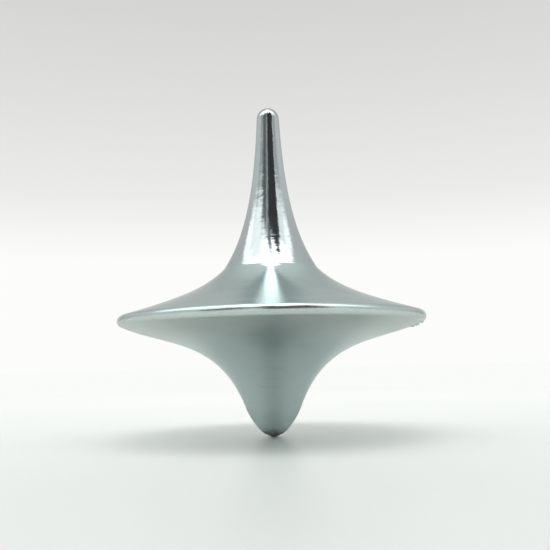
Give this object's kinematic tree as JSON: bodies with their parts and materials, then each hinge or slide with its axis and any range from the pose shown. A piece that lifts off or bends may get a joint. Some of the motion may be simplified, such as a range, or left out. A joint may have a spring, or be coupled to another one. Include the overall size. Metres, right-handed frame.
{
  "type": "spinning top",
  "caption": "Finger-twirled metal spinning top: a slender flared stem on a wide disc flywheel with a rounded rim, over a tapered nose that turns on a captive bearing ball.",
  "frame": {"origin": "the lowest point of the tip ball, where the top touches the table it spins on", "axes": "+Z is the spin axis, up towards the end of the stem; X and Y are any two radii, because the top is round"},
  "size_m": [0.033, 0.033, 0.0364],
  "materials": {
    "polished_steel": "mirror polished, bright plated",
    "satin_steel": "bright plated over fine turning marks, satin",
    "stud_steel": "plain machined, lightly oiled",
    "ball_steel": "ground and polished, hardened"
  },
  "bodies": {
    "tip": {"tip_ball": "ball_steel"},
    "top": {"stem": "polished_steel", "flywheel": "satin_steel", "nose": "satin_steel", "clamp_stud": "stud_steel"}
  },
  "joints": [
    {"name": "spin", "type": "hinge", "parent": "tip", "child": "top", "pos_m": [0, 0, 0.00119], "axis": [0, 0, 1], "continuous": true}
  ]
}
